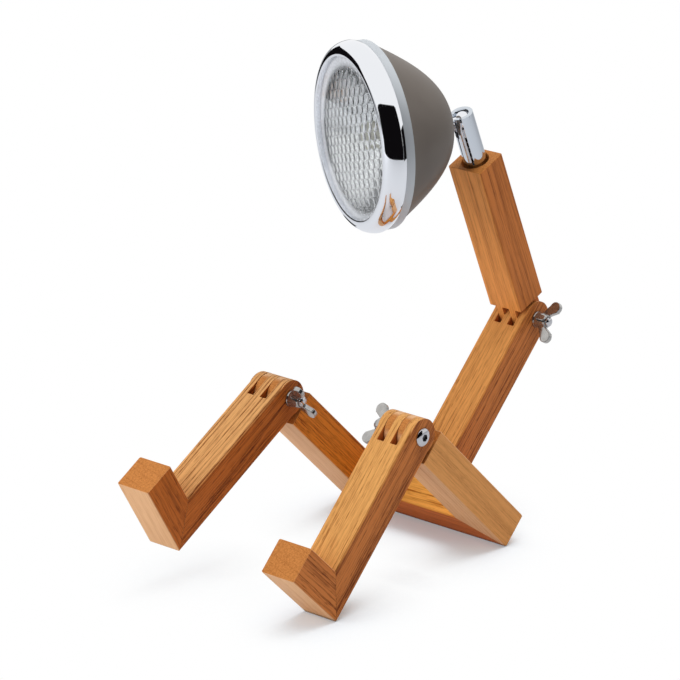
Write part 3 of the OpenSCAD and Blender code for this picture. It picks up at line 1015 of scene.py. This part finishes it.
@dataclass
class Head:
    """The bowl, its chrome rim, the pressed lens and all that the two hold.

    Sizes are millimetres along the head's axis, counted from the ball.
    """

    bones: Skeleton
    apex: float = 10.8
    bowl_depth: float = 45.5
    rim_depth: float = 17.7
    rim_radius: float = 57.18
    view_radius: float = 48.7
    sheet: float = 1.0
    rim_bulge: float = 9.3
    focal: float = 20.0
    lens_thick: float = 2.9
    dome: float = 4.0
    pillow: float = 6.0
    pillow_rise: float = 0.75
    lens_field: float = 44.0
    grommet_wall: float = 1.0

    def __post_init__(self) -> None:
        """Work out the stations along the axis."""
        self.at = self.bones.head()
        self.band_b = self.apex + self.bowl_depth
        self.band_a = self.band_b + 0.28 * self.rim_depth
        self.lip = self.band_b + self.rim_depth
        self.band_radius = self.rim_radius - 1.1
        self.bowl_radius = self.band_radius - 0.7
        self.lens_edge = self.lip - 3.2
        self.flange = self.lens_edge - self.lens_thick - 1.5
        self.mirror_radius = self.view_radius - 1.7

    def build(self) -> None:
        """Make the head, from the stud to the lens."""
        self._stud()
        self._bowl()
        self._rim()
        self._mirror()
        self._lens()
        self._inside()

    def _stud(self) -> None:
        """Turn the ball with its stud."""
        ball, shank, neck = 5.4, 2.5, 8.9
        collar, thread, end = 5.0, 3.0, 19.8
        seat = neck + 2.1
        start = asin(shank / ball)
        arc = [pi - (pi - start) * i / 40 for i in range(41)]
        outline = [(ball * sin(a), ball * cos(a)) for a in arc]
        outline[0] = (0.0, -ball)
        outline += [(shank, neck - 0.3), (shank + 0.3, neck), (collar - 0.25, neck)]
        outline += [(collar, neck + 0.25), (collar, seat - 0.25), (collar - 0.25, seat)]
        outline += [(thread, seat), (thread, end - 0.4), (thread - 0.4, end), (0.0, end)]
        piece = lathe("ball_stud_turned", outline, self.at, 96)
        dress(piece, Chrome(), "head", "chrome", "ball_stud")

    def _bowl_line(self, wall: float) -> Profile:
        """Trace the bowl from the rim to the flat at its back.

        Args:
            wall: How far inside the outer skin.

        Returns:
            The outline.
        """
        line = []
        count, taper, fullness, flat = 60, 0.87, 2.46, 6.6
        for i in range(count):
            s = 1 - (1 - i / count) ** 2
            radius = (self.bowl_radius - wall) * (1 - s**taper) ** (1 / fullness)
            if radius > flat:
                line.append((radius, self.band_b - s * (self.bowl_depth - wall)))
        return line

    def _bowl(self) -> None:
        """Spin the bowl and cut the grommet's hole."""
        front, seat = self.band_a - 1.4, self.apex + 0.2
        flat, hole, inside = 6.2, 3.0, seat + self.sheet
        outline = [(self.bowl_radius, front), *self._bowl_line(0.0)]
        outline += [(flat, seat), (hole, seat), (hole, inside), (flat, inside)]
        outline += [*reversed(self._bowl_line(self.sheet)), (self.bowl_radius - self.sheet, front)]
        piece = lathe("head_bowl", outline, self.at, 192)
        self._drill(piece)
        taupe = Lacquer("taupe_lacquer", shade(114, 106, 99), shade(107, 99, 92))
        dress(piece, taupe, "head", "taupe_paint", "head_shell")

    def _drill(self, bowl: Piece) -> None:
        """Cut the grommet's hole.

        Args:
            bowl: The bowl.
        """
        inlet = next(m for m in frame["record"]["mounts"] if m["name"] == "cord_inlet")
        axis = Vector(inlet["axis"]).normalized()
        at = frame_of(Vector(inlet["pos_m"]), axis.orthogonal().normalized(), axis)
        radius = inlet["dims"]["r_mm"] + self.grommet_wall
        cutter = lathe("drill", [(0, -8), (radius, -8), (radius, 8), (0, 8)], at, 64)
        cut = bowl.modifiers.new("hole", "BOOLEAN")
        cut.operation = "DIFFERENCE"
        cut.object = cutter
        smooth(settle(bowl))
        bpy.data.objects.remove(cutter)

    def _rim(self) -> None:
        """Spin the rim: a bright bulge, a step and the narrow band behind it."""
        count = 36
        view, radius = self.view_radius, self.rim_radius

        def arc(edge: float) -> Profile:
            """Return the bulge's curve out to an edge."""
            turns = [pi / 2 * i / count for i in range(count + 1)]
            return [
                (
                    view + 0.9 + (edge - view - 0.9) * sin(q) ** 0.85,
                    self.lip - self.rim_bulge * (1 - max(0.0, cos(q)) ** 1.1),
                )
                for q in turns
            ]

        outer = [(view, self.lip - 0.3), *arc(radius), (radius - 0.5, self.band_a + 1.6)]
        band = self.band_radius
        outer += [(band - 0.25, self.band_a), (band, self.band_a - 0.6), (band, self.band_b)]
        inner = [(band - 0.65, self.band_b), (band - 0.65, self.band_a - 1.3)]
        inner += [(band - 1.2, self.band_a - 0.4)]
        inner += [(r, a - self.sheet) for r, a in reversed(arc(radius - self.sheet)[6:])]
        inner += [(view + 1.2, self.lip - 1.3), (view + 1, self.lens_edge), (view, self.lens_edge)]
        piece = lathe("rim_spun", outer + inner, self.at, 224)
        chrome = BandedChrome(at=self.at, band=self.band_a + 0.3)
        dress(piece, chrome, "head", "chrome", "rim_ring")

    def _mirror(self) -> None:
        """Spin the reflector."""
        hole, rise = 11.1, self.mirror_radius**2 / (4 * self.focal)
        vertex = self.flange - self.sheet - rise
        radii = [hole + (self.mirror_radius - hole) * i / 40 for i in range(41)]
        outline = [(r, vertex + r * r / (4 * self.focal)) for r in radii]
        out = self.view_radius + 4.2
        back = self.flange - self.sheet
        outline += [(self.mirror_radius, self.flange), (out, self.flange)]
        outline += [(out, back), (self.mirror_radius + 1.1, back)]
        outline += [(r + 0.3, vertex + r * r / (4 * self.focal) - 1.05) for r in reversed(radii)]
        piece = lathe("reflector_spun", outline, self.at, 128)
        silver = Chrome("vapour_silver", shade(253, 253, 253), 0.03, 0.06)
        dress(piece, silver, "head", "reflector", "reflector")

    def _lens(self) -> None:
        """Press the lens: a smooth dome outside, staggered pillows on the inner face."""
        clear = self.view_radius - 0.4
        edge = self.view_radius + 3.3
        back = self.lens_edge - self.lens_thick
        count = 80

        def domed(radius: float, base: float, rise: float) -> tuple[float, float]:
            """Return a point of a dome."""
            return radius, base + rise * (1 - (radius / clear) ** 2)

        radii = [clear * i / count for i in range(1, count + 1)]
        outline = [(0.0, self.lens_edge + self.dome)]
        outline += [domed(r, self.lens_edge, self.dome) for r in radii]
        outline += [(edge - 0.3, self.lens_edge), (edge, self.lens_edge - 0.3)]
        outline += [(edge, back + 0.3), (edge - 0.3, back)]
        outline += [domed(r, back, self.dome - 0.4) for r in reversed(radii)]
        outline += [(0.0, back + self.dome - 0.4)]
        blank = lathe("lens_pressed", outline, self.at, 320)
        middle = self.lens_edge - self.lens_thick / 2 + self.dome
        fall = self.dome / clear**2
        glass = Glass("pressed_glass", self.at, self.pillow, self.lens_field, middle, fall)
        recipe = Recipe("lens_pillows")
        tree = recipe.tree
        position = tree.add("GeometryNodeInputPosition")
        local = tree.vector("SUBTRACT", position, self.at.to_translation())
        u, v, w = (
            tree.vector("DOT_PRODUCT", local, self.at.col[i].xyz, output="Value") for i in range(3)
        )
        pitch = recipe.size("Pitch", self.pillow * MM)
        rise = recipe.size("Rise", self.pillow_rise * MM)
        reach = recipe.size("Field radius", self.lens_field * MM)
        squared = u * u + v * v
        height = (1.0 - staggered(u, v, pitch) / (pitch * pitch * 0.39)) * rise
        skin = middle * MM - squared * (fall / MM)
        inside = tree.math("LESS_THAN", w, skin) * tree.math("LESS_THAN", squared**0.5, reach)
        inward = tree.vector("MULTIPLY", height * inside, tuple(-self.at.col[2].xyz))
        pressed = tree.add("GeometryNodeSetPosition", inputs={0: recipe.mesh, "Offset": inward})
        piece = recipe.bake(blank, glass, pressed)
        dress(piece, glass, "head", "lens_glass", "lens")

    def _inside(self) -> None:
        """Finish the small parts inside the bowl and the grommet."""
        rubber = Plain("black_rubber", shade(36, 36, 37), shade(28, 28, 29), 0.6)
        ceramic = Plain("white_ceramic", shade(236, 234, 226), shade(226, 223, 213), 0.5)
        frost = Plain("frosted_bulb", shade(244, 240, 222), shade(236, 230, 206), 0.35)
        clips = ("clip_top", "clip_left", "clip_right")
        repaint(BRIGHT_STEEL, "stud_lock_washer", "stud_nut", *clips)
        repaint(rubber, "lens_gasket", "cord_grommet")
        repaint(ceramic, "lamp_holder")
        repaint(frost, "bulb")


# --- studio ---


@dataclass(frozen=True)
class Card:
    """A dark card, bent round a centre, given by what it covers as seen from there.

    Azimuth 0 looks along -Y and 90 along +X. The top edge falls away from its summit.
    """

    name: str
    azimuths: tuple[float, float]
    low: float
    high: float
    summit: float
    fall: float
    distance: float
    steps: int = 24

    def build(self, centre: Vector) -> Piece:
        """Make the card.

        Args:
            centre: Where it is seen from.

        Returns:
            The card, some faces long.
        """

        def build(work: BMesh) -> None:
            """Fill the mesh column by column."""
            first, last = self.azimuths
            previous = None
            for step in range(self.steps + 1):
                azimuth = first + (last - first) * step / self.steps
                away = cos(radians((azimuth - self.summit) * self.fall))
                high = atan(tan(radians(self.high)) * away)
                a = radians(azimuth)
                level = Vector((sin(a), -cos(a), 0.0))
                column = []
                for e in (radians(self.low), high):
                    ray = level * cos(e) + Vector((0, 0, sin(e)))
                    column.append(work.verts.new(centre + ray * self.distance))
                if previous:
                    work.faces.new((previous[0], *column, previous[1]))
                previous = column

        return object_from(self.name, build)


@dataclass(frozen=True)
class White(Finish):
    """A floor with the lamp's shadow where it is near, and pure white elsewhere."""

    glow: float = 0.16
    reach: float = 62.0
    fade: tuple[float, float] = (0.44, 0.92)

    def _paint(self, tree: Tree) -> Signal:
        """Show the camera white where the sky above is open."""
        seen = tree.add("ShaderNodeLightPath", output="Is Camera Ray")
        reach = {"Distance": self.reach * MM}
        open_sky = tree.add("ShaderNodeAmbientOcclusion", {"samples": 12}, reach, "AO")
        cool = tree.mix(seen, shade(232, 234, 238), shade(222, 233, 244))
        matt = tree.add("ShaderNodeBsdfDiffuse", inputs={"Color": cool})
        glow = tree.add("ShaderNodeEmission", inputs={"Strength": seen * self.glow})
        near = tree.add("ShaderNodeAddShader", inputs={0: matt, 1: glow})
        far = tree.add("ShaderNodeEmission")
        share = open_sky.rise(*self.fade) * seen
        return tree.add("ShaderNodeMixShader", inputs={0: share, 1: near, 2: far})


@dataclass(frozen=True)
class Black(Finish):
    """A card that gives off next to nothing."""

    def _paint(self, tree: Tree) -> Signal:
        """Glow an even near-black."""
        return tree.add("ShaderNodeEmission", inputs={"Color": shade(14, 12, 14)})


@dataclass
class Studio:
    """A white floor, soft lamps, dark cards for the chrome, and the camera."""

    azimuth: float = 42.35
    elevation: float = 18.94
    roll: float = -0.74
    distance: float = 2.33857
    lens: float = 213.74
    target: tuple[float, float, float] = (0.00868, -0.02873, 0.13602)
    head_centre: tuple[float, float, float] = (-0.012, 0.045, 0.241)
    soft_level: float = 0.36
    key_power: float = 13.0
    top_power: float = 14.0

    def build(self) -> None:
        """Set everything up round the lamp."""
        self._camera()
        self._world()
        self._floor()
        self._lamps()
        self._cards()

    def _camera(self) -> None:
        """Place the camera."""
        a, e = radians(self.azimuth), radians(self.elevation)
        back = Vector((sin(a) * cos(e), -cos(a) * cos(e), sin(e)))
        right = Vector((cos(a), sin(a), 0.0))
        data = bpy.data.cameras.new("camera")
        data.lens = self.lens
        camera = bpy.data.objects.new("camera", data)
        place = Vector(self.target) + back * self.distance
        camera.matrix_world = frame_of(place, right, back) @ turn_about("Z", self.roll)
        bpy.context.scene.collection.objects.link(camera)
        bpy.context.scene.camera = camera

    def _world(self) -> None:
        """White to the camera, the chrome and the glass; an even soft level to the rest."""
        world = bpy.data.worlds.new("studio")
        world.use_nodes = True
        world.node_tree.nodes.clear()
        tree = Tree(world.node_tree)
        paths = tree.add("ShaderNodeLightPath").socket.node.outputs
        kinds = ("Is Camera Ray", "Is Glossy Ray", "Is Transmission Ray")
        camera, mirrored, through = (Signal(tree, paths[kind]) for kind in kinds)
        seen = (camera + mirrored + through).least(1.0)
        strength = self.soft_level + seen * (1.0 - self.soft_level)
        sky = tree.add(
            "ShaderNodeBackground", inputs={"Color": shade(255, 255, 255), "Strength": strength}
        )
        tree.add("ShaderNodeOutputWorld", inputs={"Surface": sky})
        bpy.context.scene.world = world

    def _floor(self) -> None:
        """Lay the floor."""

        def build(work: BMesh) -> None:
            """Fill the mesh with one wide face."""
            bmesh.ops.create_grid(work, x_segments=1, y_segments=1, size=6.0)

        floor = object_from("floor", build)
        coat(floor, White("white_floor"))

    def _lamps(self) -> None:
        """Hang the soft square lamps, which the chrome doesn't mirror."""
        lamps = {
            "key": ((-0.7, -1.3, 0.75), 1.1, self.key_power),
            "top": ((0.05, 0.5, 1.5), 1.0, self.top_power),
        }
        for name, (place, size, power) in lamps.items():
            data = bpy.data.lights.new(name, "AREA")
            data.size = size
            data.energy = power
            light = bpy.data.objects.new(name, data)
            aim = Vector(self.target) - Vector(place)
            turn = aim.to_track_quat("-Z", "Y").to_matrix().to_4x4()
            light.matrix_world = Matrix.Translation(place) @ turn
            light.visible_glossy = light.visible_transmission = False
            bpy.context.scene.collection.objects.link(light)

    def _cards(self) -> None:
        """Stand the dark cards that give the chrome its black reflections."""
        cards = (
            Card("card_right", (-38.0, 112.0), -14.0, 47.0, 60.0, 0.85, 0.9),
            Card("card_side", (96.0, 132.0), -13.0, 17.0, 110.0, 1.0, 0.16),
            Card("card_left", (-110.0, -68.0), -13.0, 14.0, -90.0, 1.0, 0.8),
            Card("card_low", (-114.0, -92.0), -46.0, -38.0, -103.0, 1.0, 0.17),
        )
        for card in cards:
            piece = card.build(Vector(self.head_centre))
            coat(piece, Black("black_card"))
            for ray in ("camera", "diffuse", "transmission", "volume_scatter", "shadow"):
                setattr(piece, f"visible_{ray}", False)


def main() -> None:
    """Build the lamp and the studio, and note how large the dressed lamp is."""
    logging.basicConfig(level=logging.INFO, format="%(name)s: %(message)s")
    bpy.context.scene.view_settings.view_transform = "Standard"
    bones = Skeleton()
    Studio().build()
    for assembly in (Body(bones), Knuckle(bones), Head(bones)):
        assembly.build()
        log.info("%s is complete", type(assembly).__name__)


if __name__ == "__main__":
    main()
